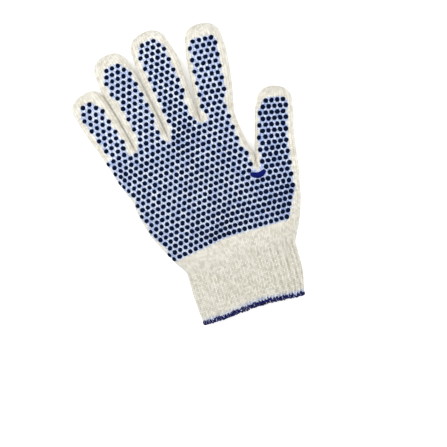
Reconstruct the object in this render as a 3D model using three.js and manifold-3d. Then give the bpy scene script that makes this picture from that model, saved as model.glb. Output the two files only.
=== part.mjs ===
// A knitted work glove for the right hand, lying flat with its palm side up.
// Millimetres. +Y runs from the cuff to the fingertips, +X to the thumb's side and +Z up from the
// surface that the glove lies on. The tables measure from the middle of the cuff's open edge. At the
// end the group is moved so that its origin is the middle of its box's bottom.
import * as THREE from "three";
import { mergeVertices } from "three/addons/utils/BufferGeometryUtils.js";
import Module from "manifold-3d";

const wasm = await Module();
wasm.setup();

// Cloth
const WALL = 1.7; // one layer of the knit
const GAP = 0.3; // between neighbouring pieces
const EDGE_SHARE = 0.42; // radius of a round side edge, as a share of the height
const EDGE_TURN = THREE.MathUtils.degToRad(75); // how far up the round edge turns before the crown

// Fingers: the middle line, half of the flat width and the height, a row for each section.
const FINGER_COLUMNS = ["x", "y", "half", "height"];
const FINGERS = {
  little_finger: {
    tip: 10.4,
    rows: table(FINGER_COLUMNS, [
      [-53.5, 108.0, 12.6, 10.6],
      [-60.0, 128.0, 13.4, 10.6],
      [-66.9, 151.0, 13.1, 10.8],
      [-72.9, 173.0, 14.4, 11.2],
      [-78.0, 189.8, 13.9, 10.8],
    ]),
  },
  ring_finger: {
    tip: 14.0,
    rows: table(FINGER_COLUMNS, [
      [-35.0, 125.0, 14.5, 11.0],
      [-39.5, 152.0, 14.0, 11.0],
      [-45.5, 177.0, 15.2, 11.5],
      [-50.0, 200.0, 15.4, 11.5],
      [-52.0, 210.5, 14.2, 11.0],
    ]),
  },
  middle_finger: {
    tip: 14.0,
    rows: table(FINGER_COLUMNS, [
      [-11.0, 125.0, 14.5, 11.2],
      [-11.7, 152.0, 14.0, 11.2],
      [-13.5, 175.0, 15.1, 11.7],
      [-16.2, 203.0, 16.9, 11.7],
      [-18.6, 219.1, 15.2, 11.2],
    ]),
  },
  index_finger: {
    tip: 14.0,
    rows: table(FINGER_COLUMNS, [
      [15.0, 125.0, 14.5, 11.2],
      [16.4, 152.0, 13.8, 11.2],
      [20.2, 180.0, 15.7, 11.7],
      [22.6, 203.0, 16.0, 11.7],
      [23.5, 213.0, 14.7, 11.2],
    ]),
  },
  thumb: {
    tip: 13.0,
    rows: table(FINGER_COLUMNS, [
      [40.0, 80.0, 19.5, 12.4],
      [47.2, 96.0, 18.9, 12.4],
      [52.0, 112.0, 16.6, 11.9],
      [55.8, 128.0, 15.4, 11.7],
      [60.6, 144.0, 15.2, 11.7],
      [62.8, 150.5, 13.9, 11.2],
    ]),
  },
};
const TIP_POWER = 2.4; // 2 is a round fingertip, more is squarer
const TIP_STEPS = [0.28, 0.52, 0.74, 0.92]; // a fingertip's sections, as shares of a quarter turn
const TIP_FLATNESS = 0.62; // how much of its height the very tip has lost
const TIP_LEVEL = 0.42; // height of the very tip, as a share of the finger's height

// Palm: the two sides and the height along the hand. slant takes a section towards the fingers as it
// nears the thumb's side, by so much for each millimetre.
const PALM = table(["y", "left", "right", "height", "slant"], [
  [40.8, -42.3, 46.4, 11.4, 0.0],
  [45.8, -43.6, 48.9, 11.8, 0.0],
  [49.0, -47.0, 51.0, 12.1, 0.0],
  [62.0, -53.8, 57.0, 12.8, 0.0],
  [76.0, -60.4, 61.6, 13.4, 0.0],
  [87.0, -63.7, 62.6, 13.7, 0.0],
  [98.0, -65.9, 54.5, 13.8, 0.0],
  [108.0, -67.0, 41.0, 13.6, 0.0],
  [120.0, -68.0, 34.5, 13.0, 0.03],
  [134.0, -68.2, 31.8, 11.9, 0.06],
  [147.5, -66.0, 30.4, 10.2, 0.1],
]);

// Ribbed cuff
const CUFF = table(["y", "left", "right", "height"], [
  [1.9, -41.3, 41.3, 10.6],
  [12.0, -42.2, 44.4, 10.8],
  [24.0, -42.6, 46.2, 11.0],
  [40.5, -42.3, 46.5, 11.4],
]);
const RIB_COUNT = 72; // all the way round
const RIB_DEPTH = 0.7;
// The mouth bows up round this x, to this far on both sides, by so much in its upper and lower edge
const MOUTH_BOW = { middle: 5.8, reach: 34.0, upper: 3.8, lower: 1.0 };

// Overlock thread round the cuff's edge: sections along Y, each swollen past the cuff's outline.
const HEM = table(["y", "swell"], [
  [-1.4, -0.4],
  [-0.7, 0.3],
  [0.9, 0.4],
  [1.6, -0.1],
]);
const HEM_WALL = 2.0;
const HEM_POINTS = 48;

// Print that ran together at the thumb crotch: a crescent between two curves.
const SMEAR = {
  left: new THREE.Vector2(27.9, 103.0),
  right: new THREE.Vector2(41.0, 101.6),
  lowest: new THREE.Vector2(33.2, 97.1),
  highest: new THREE.Vector2(34.6, 100.7),
  thickness: 0.5,
};

// Crotches, and the lines along which neighbouring fingers part above them.
const CROTCH = {
  little_ring: [-53.3, 147.7],
  ring_middle: [-25.5, 150.7],
  middle_index: [2.9, 155.5],
  index_thumb: [35.5, 111.4],
};
const FAR = 250; // past every fingertip
const PARTING = {
  little_ring: [CROTCH.little_ring, [-59.4, 176.0], [-65.0, 196.5], [-80, FAR]],
  ring_middle: [CROTCH.ring_middle, [-29.5, 175.0], [-34.0, 203.0], [-39, FAR]],
  middle_index: [CROTCH.middle_index, [3.2, 172.0], [5.0, 204.0], [4.5, FAR]],
  index_thumb: [CROTCH.index_thumb, [36.5, 125.0], [42.9, 151.0], [47.0, 200.0], [50, FAR]],
};
const LITTLE_ROOT_END = [-100, 135.4]; // its root line runs square to the finger
const THUMB_ROOT_END = [95, 93.2];
const CELLS = {
  little_finger: [LITTLE_ROOT_END, ...PARTING.little_ring, [-110, FAR]],
  ring_finger: [...PARTING.little_ring.toReversed(), ...PARTING.ring_middle],
  middle_finger: [...PARTING.ring_middle.toReversed(), ...PARTING.middle_index],
  index_finger: [...PARTING.middle_index.toReversed(), ...PARTING.index_thumb.slice(2)],
  thumb: [...PARTING.index_thumb.toReversed(), THUMB_ROOT_END, [110, FAR]],
};
const CELL_HEIGHT = 40; // well past the glove, above and below

// How finely the forms are drawn: sections for each row of a table, and a section's steps along its
// underside, up each round edge and over its crown.
const FINGER_STEPS = 2;
const PALM_STEPS = 2;
const FINE_FINGER = { under: 3, edge: 4, crown: 7 };
const PLAIN_FINGER = { under: 2, edge: 3, crown: 5 };
const FINE_HAND = { under: 8, edge: 4, crown: 14 };
const PLAIN_HAND = { under: 6, edge: 3, crown: 10 };

const KNIT = { color: 0xebe7dc, roughness: 0.95, metalness: 0 };
const PRINT = { color: 0x19235a, roughness: 0.45, metalness: 0 };
const THREAD = { color: 0x1a1a74, roughness: 0.8, metalness: 0 };

function table(names, rows) {
  return rows.map((row) => Object.fromEntries(names.map((name, i) => [name, row[i]])));
}

// Rows of a table with smooth in-between rows added, each column on its own spline.
function smoothRows(rows, steps) {
  const names = Object.keys(rows[0]);
  const blend = (i, t) => {
    const at = (k) => rows[Math.min(Math.max(k, 0), rows.length - 1)];
    return Object.fromEntries(
      names.map((name) => {
        const [a, b, c, d] = [at(i - 1)[name], at(i)[name], at(i + 1)[name], at(i + 2)[name]];
        const curve = -a + 3 * b - 3 * c + d;
        const bend = 2 * a - 5 * b + 4 * c - d;
        return [name, (2 * b + (c - a) * t + bend * t * t + curve * t * t * t) / 2];
      }),
    );
  };
  const made = [];
  for (let i = 0; i < rows.length - 1; i += 1) {
    for (let k = 0; k < steps; k += 1) made.push(blend(i, k / steps));
  }
  made.push(rows[rows.length - 1]);
  return made;
}

// A flat cloth tube's section: flat below, round at both edges, with a low crown on top.
function section(half, height, fineness) {
  const radius = Math.min(height * EDGE_SHARE, half);
  const flat = half - radius;
  const shoulder = new THREE.Vector2(
    flat + radius * Math.cos(EDGE_TURN),
    radius + radius * Math.sin(EDGE_TURN),
  );
  const points = [];
  for (let i = 0; i < fineness.under; i += 1) {
    points.push(new THREE.Vector2(flat * ((2 * i) / fineness.under - 1), 0));
  }
  const edge = [];
  for (let i = 0; i <= fineness.edge; i += 1) {
    const turn = -Math.PI / 2 + (i / fineness.edge) * (Math.PI / 2 + EDGE_TURN);
    edge.push(new THREE.Vector2(flat + radius * Math.cos(turn), radius + radius * Math.sin(turn)));
  }
  points.push(...edge);
  for (let i = 1; i < fineness.crown; i += 1) {
    const u = shoulder.x * (1 - (2 * i) / fineness.crown);
    const rise = 1 - (u / shoulder.x) ** 2;
    points.push(new THREE.Vector2(u, shoulder.y + (height - shoulder.y) * rise));
  }
  const otherEdge = edge.map((p) => new THREE.Vector2(-p.x, p.y)).reverse();
  points.push(...otherEdge.slice(0, -1));
  return points;
}

// A closed solid through rings of equal length. The ends are closed by a fan round their middle.
function loft(rings) {
  const count = rings[0].length;
  const vertices = rings.flat();
  const faces = [];
  for (let r = 0; r < rings.length - 1; r += 1) {
    for (let i = 0; i < count; i += 1) {
      const a = r * count + i;
      const b = r * count + ((i + 1) % count);
      faces.push(a, a + count, b, b, a + count, b + count);
    }
  }
  for (const [r, turned] of [[0, false], [rings.length - 1, true]]) {
    const middle = rings[r].reduce((sum, p) => sum.add(p), new THREE.Vector3()).divideScalar(count);
    const centre = vertices.push(middle) - 1;
    for (let i = 0; i < count; i += 1) {
      const a = r * count + i;
      const b = r * count + ((i + 1) % count);
      faces.push(...(turned ? [centre, b, a] : [centre, a, b]));
    }
  }
  const geometry = new THREE.BufferGeometry().setFromPoints(vertices);
  geometry.setIndex(faces);
  return solidOf(geometry);
}

function solidOf(geometry) {
  const bare = geometry.clone();
  bare.deleteAttribute("normal");
  bare.deleteAttribute("uv");
  const merged = mergeVertices(bare, 1e-4);
  return new wasm.Manifold(
    new wasm.Mesh({
      numProp: 3,
      vertProperties: merged.attributes.position.array,
      triVerts: new Uint32Array(merged.index.array),
    }),
  );
}

// A finger's ring, square to its middle line.
function fingerRing(row, along, lift, fineness) {
  return section(row.half, row.height, fineness).map(
    (p) => new THREE.Vector3(row.x + along.y * p.x, row.y - along.x * p.x, p.y + lift),
  );
}

function fingerSolid(finger, inset, fineness) {
  const rows = smoothRows(finger.rows, FINGER_STEPS);
  const rings = [];
  let along = new THREE.Vector2();
  rows.forEach((row, i) => {
    const before = rows[Math.max(i - 1, 0)];
    const after = rows[Math.min(i + 1, rows.length - 1)];
    along = new THREE.Vector2(after.x - before.x, after.y - before.y).normalize();
    const inner = { ...row, half: row.half - inset, height: row.height - 2 * inset };
    rings.push(fingerRing(inner, along, inset, fineness));
  });
  const end = rows[rows.length - 1];
  const tip = finger.tip - inset;
  const half = end.half - inset;
  const height = end.height - 2 * inset;
  for (const step of TIP_STEPS) {
    const turn = (step * Math.PI) / 2;
    const reach = tip * Math.sin(turn) ** (2 / TIP_POWER);
    const lower = height * (1 - TIP_FLATNESS * (1 - Math.cos(turn)));
    const row = {
      x: end.x + along.x * reach,
      y: end.y + along.y * reach,
      half: half * Math.cos(turn) ** (2 / TIP_POWER),
      height: lower,
    };
    rings.push(fingerRing(row, along, inset + (height - lower) * TIP_LEVEL, fineness));
  }
  return loft(rings);
}

// A ring across the hand or the cuff, at one place along Y.
function handRing(row, inset, fineness) {
  const middle = (row.left + row.right) / 2;
  const half = (row.right - row.left) / 2 - inset;
  return section(half, row.height - 2 * inset, fineness).map((p) => {
    const x = middle + p.x;
    return new THREE.Vector3(x, row.y + x * (row.slant ?? 0), p.y + inset);
  });
}

// How far the cuff's mouth is bowed at a point of one of its rings.
function mouthBow(point, row) {
  const { middle, reach, upper, lower } = MOUTH_BOW;
  const away = Math.min(Math.abs(point.x - middle) / reach, 1);
  const bump = (1 + Math.cos(Math.PI * away)) / 2;
  return (lower + (upper - lower) * (point.z / row.height)) * bump;
}

function palmSolid(inset, fineness) {
  const rows = smoothRows(PALM, PALM_STEPS);
  const last = rows.length - 1;
  rows[0] = { ...rows[0], y: rows[0].y - 2 * inset };
  rows[last] = { ...rows[last], y: rows[last].y - inset };
  return loft(rows.map((row) => handRing(row, inset, fineness)));
}

// Evenly spaced points round a closed ring.
function evenRing(ring, count) {
  const lengths = ring.map((p, i) => p.distanceTo(ring[(i + 1) % ring.length]));
  const whole = lengths.reduce((sum, length) => sum + length, 0);
  const made = [];
  let passed = 0;
  let i = 0;
  for (let k = 0; k < count; k += 1) {
    const wanted = (k / count) * whole;
    while (passed + lengths[i] < wanted) {
      passed += lengths[i];
      i += 1;
    }
    made.push(ring[i].clone().lerp(ring[(i + 1) % ring.length], (wanted - passed) / lengths[i]));
  }
  return made;
}

// Moves each point of a ring across Y, outwards by as much as offset says for its number.
function pushed(ring, offset) {
  return ring.map((p, i) => {
    const before = ring[(i + ring.length - 1) % ring.length];
    const after = ring[(i + 1) % ring.length];
    const outward = new THREE.Vector3(after.z - before.z, 0, before.x - after.x).normalize();
    return p.clone().addScaledVector(outward, offset(i));
  });
}

// An open tube between outer and inner rings. An outer ring has as many points as an inner one, or a
// whole number of times as many.
function tube(outer, inner) {
  const count = inner[0].length;
  const outerCount = outer[0].length;
  const ratio = outerCount / count;
  const vertices = [...outer.flat(), ...inner.flat()];
  const outerAt = (r, i) => r * outerCount + (i % outerCount);
  const innerAt = (r, i) => outer.length * outerCount + r * count + (i % count);
  const faces = [];
  for (let r = 0; r < outer.length - 1; r += 1) {
    for (let i = 0; i < outerCount; i += 1) {
      faces.push(outerAt(r, i), outerAt(r + 1, i), outerAt(r, i + 1));
      faces.push(outerAt(r, i + 1), outerAt(r + 1, i), outerAt(r + 1, i + 1));
    }
    for (let i = 0; i < count; i += 1) {
      faces.push(innerAt(r, i), innerAt(r, i + 1), innerAt(r + 1, i));
      faces.push(innerAt(r, i + 1), innerAt(r + 1, i + 1), innerAt(r + 1, i));
    }
  }
  const last = outer.length - 1;
  for (let i = 0; i < count; i += 1) {
    for (let k = 0; k < ratio; k += 1) {
      const j = i * ratio + k;
      faces.push(innerAt(0, i), outerAt(0, j), outerAt(0, j + 1));
      faces.push(innerAt(last, i), outerAt(last, j + 1), outerAt(last, j));
    }
    const j = (i + 1) * ratio;
    faces.push(innerAt(0, i), outerAt(0, j), innerAt(0, i + 1));
    faces.push(innerAt(last, i), innerAt(last, i + 1), outerAt(last, j));
  }
  const geometry = new THREE.BufferGeometry().setFromPoints(vertices);
  geometry.setIndex(faces);
  return solidOf(geometry);
}

function bowed(ring, row) {
  return ring.map((p) => p.clone().setY(p.y + mouthBow(p, row)));
}

function cuffSolid() {
  const outer = CUFF.map((row) => {
    const ring = evenRing(handRing(row, 0, FINE_HAND), 2 * RIB_COUNT);
    return pushed(ring, (i) => (i % 2 ? -RIB_DEPTH : 0));
  });
  const inner = CUFF.map((row) => evenRing(handRing(row, WALL, FINE_HAND), RIB_COUNT));
  const mouth = CUFF[0];
  outer[0] = bowed(outer[0], mouth);
  inner[0] = bowed(inner[0], mouth);
  return tube(outer, inner);
}

function hemSolid() {
  const mouth = CUFF[0];
  const ringAt = (y, swell, inset) => {
    const row = {
      y,
      left: mouth.left - swell,
      right: mouth.right + swell,
      height: mouth.height + swell,
    };
    return bowed(evenRing(handRing(row, inset, FINE_HAND), HEM_POINTS), row);
  };
  return tube(
    HEM.map((row) => ringAt(row.y, row.swell, 0)),
    HEM.map((row) => ringAt(row.y, 0, HEM_WALL)),
  );
}

// An upright prism on a plan outline, from well below the glove to well above it.
function prism(shape) {
  const geometry = new THREE.ExtrudeGeometry(shape, {
    depth: CELL_HEIGHT,
    bevelEnabled: false,
    curveSegments: 8,
  });
  return solidOf(geometry.translate(0, 0, -CELL_HEIGHT / 2));
}

// Thin upright walls along a finger cell's outline, which part the finger from its neighbours.
function partingWalls(cell) {
  return cell.map(([x, y], i) => {
    const [nextX, nextY] = cell[(i + 1) % cell.length];
    const run = Math.hypot(nextX - x, nextY - y);
    const wall = new THREE.BoxGeometry(run + GAP, GAP, CELL_HEIGHT);
    wall.rotateZ(Math.atan2(nextY - y, nextX - x));
    return solidOf(wall.translate((x + nextX) / 2, (y + nextY) / 2, 0));
  });
}

function smearSolid(outside) {
  const { left, right, lowest, highest, thickness } = SMEAR;
  const chord = left.clone().add(right).divideScalar(2);
  const control = (passed) => passed.clone().multiplyScalar(2).sub(chord);
  const shape = new THREE.Shape().moveTo(left.x, left.y);
  shape.quadraticCurveTo(control(lowest).x, control(lowest).y, right.x, right.y);
  shape.quadraticCurveTo(control(highest).x, control(highest).y, left.x, left.y);
  const above = prism(shape).translate([0, 0, CELL_HEIGHT / 2 + thickness + GAP]);
  const skin = outside.translate([0, 0, GAP + thickness]).subtract(outside.translate([0, 0, GAP]));
  return skin.intersect(above);
}

function meshOf(name, solid, finish) {
  const { vertProperties, triVerts } = solid.getMesh();
  const geometry = new THREE.BufferGeometry();
  geometry.setAttribute("position", new THREE.BufferAttribute(new Float32Array(vertProperties), 3));
  geometry.setIndex(new THREE.BufferAttribute(new Uint32Array(triVerts), 1));
  geometry.computeVertexNormals();
  const mesh = new THREE.Mesh(geometry, new THREE.MeshStandardMaterial(finish));
  mesh.name = name;
  return mesh;
}

function buildGlove() {
  const glove = new THREE.Group();
  const fingers = Object.values(FINGERS);
  const union = (solids) => solids.reduce((whole, solid) => whole.add(solid));
  const hand = (inset, handFineness, fingerFineness) =>
    union([palmSolid(inset, handFineness), ...fingers.map((f) => fingerSolid(f, inset, fingerFineness))]);
  const outside = hand(0, FINE_HAND, FINE_FINGER);
  const hollow = hand(WALL, PLAIN_HAND, PLAIN_FINGER);
  const walls = union(Object.values(CELLS).flatMap(partingWalls));
  const cloth = outside.subtract(hollow).subtract(walls);
  const cells = Object.entries(CELLS).map(([name, outline]) => {
    const shape = new THREE.Shape(outline.map(([x, y]) => new THREE.Vector2(x, y)));
    return [name, prism(shape)];
  });
  const palm = cells.reduce((rest, [, cell]) => rest.subtract(cell), cloth);
  glove.add(meshOf("palm", palm, KNIT));
  for (const [name, cell] of cells) glove.add(meshOf(name, cloth.intersect(cell), KNIT));
  glove.add(meshOf("rib_cuff", cuffSolid(), KNIT));
  glove.add(meshOf("hem_overlock", hemSolid(), THREAD));
  glove.add(meshOf("print_smear", smearSolid(outside), PRINT));
  return glove;
}

// The origin is the middle of the box's bottom.
function stoodAtOrigin(glove) {
  const box = new THREE.Box3().setFromObject(glove);
  const middle = box.getCenter(new THREE.Vector3());
  glove.position.set(-middle.x, -middle.y, -box.min.z);
  return glove;
}

export default stoodAtOrigin(buildGlove());
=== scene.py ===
import math
import random

import bpy
import numpy as np
from mathutils import Euler, Matrix, Vector
from mathutils.kdtree import KDTree


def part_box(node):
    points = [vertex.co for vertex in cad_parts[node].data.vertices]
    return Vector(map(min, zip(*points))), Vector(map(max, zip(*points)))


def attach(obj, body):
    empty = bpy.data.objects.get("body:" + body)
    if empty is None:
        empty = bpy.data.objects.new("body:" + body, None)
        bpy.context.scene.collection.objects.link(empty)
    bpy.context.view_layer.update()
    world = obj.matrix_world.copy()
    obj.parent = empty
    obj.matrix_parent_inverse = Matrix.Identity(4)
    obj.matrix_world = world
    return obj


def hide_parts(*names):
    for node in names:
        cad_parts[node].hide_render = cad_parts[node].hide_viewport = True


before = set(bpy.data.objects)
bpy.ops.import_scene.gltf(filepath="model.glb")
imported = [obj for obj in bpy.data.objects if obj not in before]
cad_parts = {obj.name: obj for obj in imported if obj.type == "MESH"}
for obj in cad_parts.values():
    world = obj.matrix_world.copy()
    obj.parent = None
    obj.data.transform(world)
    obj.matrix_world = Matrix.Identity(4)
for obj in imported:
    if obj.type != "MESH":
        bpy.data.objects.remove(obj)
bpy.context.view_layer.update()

# A knitted work glove with raised dots on its palm side. Sizes are millimetres, measured from the
# middle of the cuff's open edge: +Y to the fingertips, +X to the thumb's side, +Z up from the floor.
# A pair under a name in ACROSS, ALONG or FADE says where a change starts and where it is complete.
MM = 0.001

# Cloth
WALL = 1.7  # one layer
EDGE = 4.7  # radius of the glove's folded side edges
LOWER_LEVEL = 0.3  # height of the lower layer where it lies flat
LOWEST = 0.05  # no stitch goes below this
BELLY = 1.9  # how much the upper layer swells above two edge radii
BELLY_REACH = 6.0  # distance from the outline over which it does so
PALM_SWELL = 2.4  # further swelling in the middle of the palm
PALM_SWELL_ACROSS = (10, 40)  # by distance from the outline
PALM_SWELL_ALONG = (30, 70)
MOUTH_SINK = 0.7  # how much lower the upper layer lies at the cuff's mouth
MOUTH_SINK_FADE = (0, 25)
# Ripples of the upper layer: height, run across and along the glove for one radian, and start
RIPPLES = [
    (0.22, 9.1, 23.0, 0.7),
    (0.2, -31.0, 11.7, 2.1),
    (0.12, 5.3, -7.9, 4.0),
    (0.1, 8.3, 4.7, 0.0),
]
RIPPLE_REACH = 9  # distance from the outline over which they start
# Soft upright folds in the cuff on the thumb's side
GATHER_HEIGHT = 0.34
GATHER_STEP = 4.6
GATHER_SWAY = 0.9  # how much their spacing varies, in radians, and over what run
GATHER_SWAY_RUN = 7.0
GATHER_LEAN = 40
GATHER_ACROSS = (8, 30)
GATHER_FADE = (30, 56)

# Stitches: heights on the rows of one course and the columns of one wale
STITCH_ROWS = np.array([
    # wale's edge, leg, middle, leg
    [0.00, 0.28, 0.12, 0.28],
    [0.06, 1.00, 0.55, 1.00],
    [0.02, 0.86, 0.42, 0.86],
])
ROWS_PER_COURSE, COLUMNS_PER_WALE = STITCH_ROWS.shape
ROW_STEP = 0.53
STITCH_HEIGHT = 0.62
STITCH_BASE = 0.45  # share of the height that lies under the smooth surface
STITCH_SLANT = 0.72  # how far a stitch's legs lean, in courses
LEG_SHIFT = np.array([0.0, 0.5, 1.0, 0.5])  # share of that lean in each column of a wale
LEAD_ROWS = 2 * ROWS_PER_COURSE  # rows of the cloth before it that a piece's first stitches lean on
INNER_STEP = 6  # rows of the outer surface for each row of the plain inner one
CUFF_WALES = 74  # across one layer
RIB_DEPTH = 0.6
RIB_LEAST = 0.62  # share of the depth that is left on the little finger's side
RIB_ACROSS = (5, 30)
RIB_FADE = (36, 52)
RIB_SHADE = 0.24  # how much ribs and gathers count beside the stitches in the painted shade of the cloth's grooves
GATHER_SHADE = 0.55

# Fingers from the little finger to the thumb: wales across one layer, length of the round tip, and
# the middle line with half the flat width, a row for each section.
FINGERS = {
    "little_finger": (13, 10.4, [
        (-53.5, 108.0, 12.6), (-60.0, 128.0, 13.4), (-66.9, 151.0, 13.1), (-72.9, 173.0, 14.4),
        (-78.0, 189.8, 13.9),
    ]),
    "ring_finger": (15, 14.0, [
        (-35.0, 125.0, 14.5), (-39.5, 152.0, 14.0), (-45.5, 177.0, 15.2), (-50.0, 200.0, 15.4),
        (-52.0, 210.5, 14.2),
    ]),
    "middle_finger": (15, 14.0, [
        (-11.0, 125.0, 14.5), (-11.7, 152.0, 14.0), (-13.5, 175.0, 15.1), (-16.2, 203.0, 16.9),
        (-18.6, 219.1, 15.2),
    ]),
    "index_finger": (16, 14.0, [
        (15.0, 125.0, 14.5), (16.4, 152.0, 13.8), (20.2, 180.0, 15.7), (22.6, 203.0, 16.0),
        (23.5, 213.0, 14.7),
    ]),
    "thumb": (15, 13.0, [
        (40.0, 80.0, 19.5), (47.2, 96.0, 18.9), (52.0, 112.0, 16.6), (55.8, 128.0, 15.4),
        (60.6, 144.0, 15.2), (62.8, 150.5, 13.9),
    ]),
}
TIP_POWER = 2.4  # 2 is a round fingertip, more is squarer
TIP_STRETCH = 1.35  # length of the cloth round a tip, as a share of the tip's length
ROOT_FADE = (0, 11)  # over this run a finger's rows straighten above the palm's last row

# Where neighbouring fingers part, and the lines that keep them apart above that point
PARTINGS = {
    "little_ring": [(-53.3, 147.7), (-59.4, 176.0), (-65.0, 196.5), (-80.0, 250.0)],
    "ring_middle": [(-25.5, 150.7), (-29.5, 175.0), (-34.0, 203.0), (-39.0, 250.0)],
    "middle_index": [(2.9, 155.5), (3.2, 172.0), (5.0, 204.0), (4.5, 250.0)],
    "index_thumb": [(35.5, 111.4), (36.5, 125.0), (42.9, 151.0), (47.0, 200.0), (50.0, 250.0)],
}
NEIGHBOURS = {  # finger: the parting on its left, the parting on its right
    "little_finger": (None, "little_ring"),
    "ring_finger": ("little_ring", "ring_middle"),
    "middle_finger": ("ring_middle", "middle_index"),
    "index_finger": ("middle_index", None),
    "thumb": ("index_thumb", None),
}
PARTING_GAP = 0.3
PARTING_GAP_RUN = 3  # the gap opens over this run
PARTING_REACH = 12.0  # length of cloth above and below a parting that bends towards it

# Palm and cuff: y, left, right
PALM = [
    (40.5, -42.3, 46.5), (45.8, -43.6, 48.9), (49.0, -47.0, 51.0), (62.0, -53.8, 57.0),
    (76.0, -60.4, 61.6), (87.0, -63.7, 62.6), (98.0, -65.9, 54.5), (108.0, -67.0, 41.0),
    (120.0, -68.0, 34.5), (134.0, -68.2, 31.8), (147.5, -66.0, 30.4), (156.0, -66.0, 30.2),
]
CUFF = [(-0.6, -41.2, 41.2), (12.0, -42.2, 44.4), (24.0, -42.6, 46.2), (40.5, -42.3, 46.5)]
CUFF_TOP = 40.5
THUMB_ROW = 111.4  # height on the hand where the thumb's tube leaves the palm
FINGER_ROW = 150.0  # and where the four fingers do
# Heights from which the palm's rows tilt to the fingers' roots, its strips move under the fingers,
# and its sides turn to the little finger's, the thumb's and the index finger's root
TILT_START = 60
STRIPS_START = 50
LITTLE_START = 130
THUMB_START = 95
INDEX_START = 135
LINE_STEPS = 800  # fine steps along a finger's middle line
SIDE_STEPS = 400  # and along the sides of the palm and the cuff
SIDE_AVERAGING = 7  # rows to each side over which the palm's sides are evened
# The cuff's mouth bows up round this x, to this far on both sides, by so much in each layer's edge
MOUTH_MIDDLE = 5.8
MOUTH_REACH = 34.0
MOUTH_UPPER = 3.8
MOUTH_LOWER = 1.0
MOUTH_FADE = (0, 22)

# Dot print
DOT_SEED = 5
DOT_RADIUS = 1.89
DOT_HEIGHT = 0.85
DOT_LIFT = 0.08  # height of a dot's base over the cloth's smooth surface
DOT_SIDES = 14
DOT_RINGS = 8  # of the whole ball that a dot is cut from
DOT_CUT = -0.02  # height of that cut, in radii
DOT_SIZES = (0.94, 1.06)  # the dots' variation in size, squash and height
DOT_SQUASHES = (0.93, 1.07)
DOT_HEIGHTS = (0.88, 1.1)
DOT_GROWTH = 0.05  # dots are larger by this share towards the thumb
DOT_GROWTH_ACROSS = (15, 50)
# The grid of dots in each part of the glove: the part's middle x, y; where the grid's dot 0, 0
# would lie, x, y; the step along a column, length and lean to the right of +Y in degrees; the step
# to the next column, length and lean.
DOT_GRIDS = [
    (-42, 108, 1.6, 104.0, 5.26, 22.1, 4.68, 81.8),
    (-6, 105, 0.1, 102.8, 5.14, 21.8, 4.44, 84.3),
    (30, 78, 2.2, 104.5, 5.20, 27.1, 4.32, 91.2),
    (18, 130, -0.3, 103.0, 5.10, 22.8, 4.72, 87.1),
    (52, 108, -0.1, 108.4, 5.25, 35.4, 4.66, 96.3),
    (-70, 165, 14.2, 109.0, 5.21, 8.5, 4.86, 76.4),
    (-46, 180, 7.7, 103.6, 5.12, 15.7, 4.75, 81.6),
    (-14, 185, 2.0, 104.0, 5.01, 20.7, 4.61, 84.1),
    (20, 185, -10.7, 105.3, 5.27, 33.2, 4.79, 94.8),
    (56, 136, -0.2, 112.6, 5.38, 41.2, 4.51, 101.7),
]
DOT_NUMBERS = range(-35, 36)  # of the steps and columns that are tried
DOT_BLEND = 16.0  # reach of a grid's influence on the dots round its middle
DOT_BLEND_ROUNDS = 4
DOT_OVERLAP = 9  # a grid starts no dot that is nearer to another grid's middle by more than this
DOT_PART_REACH = 62  # nor one that is farther from its own middle than this
# Undotted margins on a finger: at its left and right edge, and at the tip; then the place across the
# finger where the tip's margin is least, and how fast it grows to both sides of that
DOT_MARGINS = {
    "little_finger": (4.0, 4.1, 7.5, -2.3, 0.06),
    "ring_finger": (6.0, 3.6, 10.0, 0.7, 0.035),
    "middle_finger": (4.6, 4.8, 6.7, 0.4, 0.042),
    "index_finger": (3.3, 6.4, 11.0, -0.7, 0.02),
    "thumb": (3.2, 5.4, 9.5, 1.0, 0.024),
}
TIP_REGION = 30.0
FINGER_MARGIN_ROWS = 2  # rows at a finger's root where its margins don't count yet
FINGER_OUTSIDE = 1  # a place counts as a finger's up to this far outside its edges
# The print's lower boundary on the palm, x, y
DOT_FLOOR = [
    (-62.0, 53.5), (-45.0, 54.2), (-36.0, 56.6), (-24.0, 57.0), (-12.0, 58.6), (3.0, 59.3),
    (45.5, 59.8), (58.0, 77.0),
]
DOT_CEILING = 158  # the palm's own dots end below this
DOT_LEFT = 0.9  # undotted margins at the palm's sides
DOT_RIGHT = 5.0
# No dots nearer than this to the points where fingers part
DOT_CROTCHES = {"little_ring": 5.2, "ring_middle": 5.2, "middle_index": 5.2, "index_thumb": 3.6}
FILM_FADE = (5.8, 8.2)  # of the pale film, by the distances to the two nearest dots, added up

# The print that ran together by the thumb: the middle of its arc, its radius and half its width
SMEAR_CENTRE = np.array([34.3, 104.2])
SMEAR_RADIUS = 4.95
SMEAR_HALF = 2.4
SMEAR_SIDES = (48, 12)  # round the whole ring, and round its thickness
SMEAR_SQUASH = (1.04, 1.02, 0.42)
SMEAR_CUT = -0.6  # the ring is cut off above this height over its middle
SMEAR_SLOPES = (0.15, -0.25)  # rise of the cut at the left and the right end
SMEAR_ROUNDING = 2.6  # length of the rounded ends
SMEAR_THINNING = 0.94  # how much of the thickness they lose
SMEAR_WAVES = (0.16, 1.7), (0.1, 2.9)  # unevenness across and along: height, radians a millimetre
SMEAR_LIFT = 0.2
SMEAR_REACH = 8.6  # no dots nearer to the middle than this, below the arc's ends
SMEAR_ENDS = -0.9  # height of those ends over the middle
SMEAR_HOLLOW = 3.6  # nor anywhere nearer than this
SMEAR_ARC = np.radians(np.linspace(190, 350, 7))  # points of the arc that count as dots for the film

# Overlock thread round the cuff's edge
HEM_SEED = 11
THREAD_RADIUS = 0.4
THREAD_POINTS = 14  # for each turn
THREAD_SIDES = 6
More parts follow.
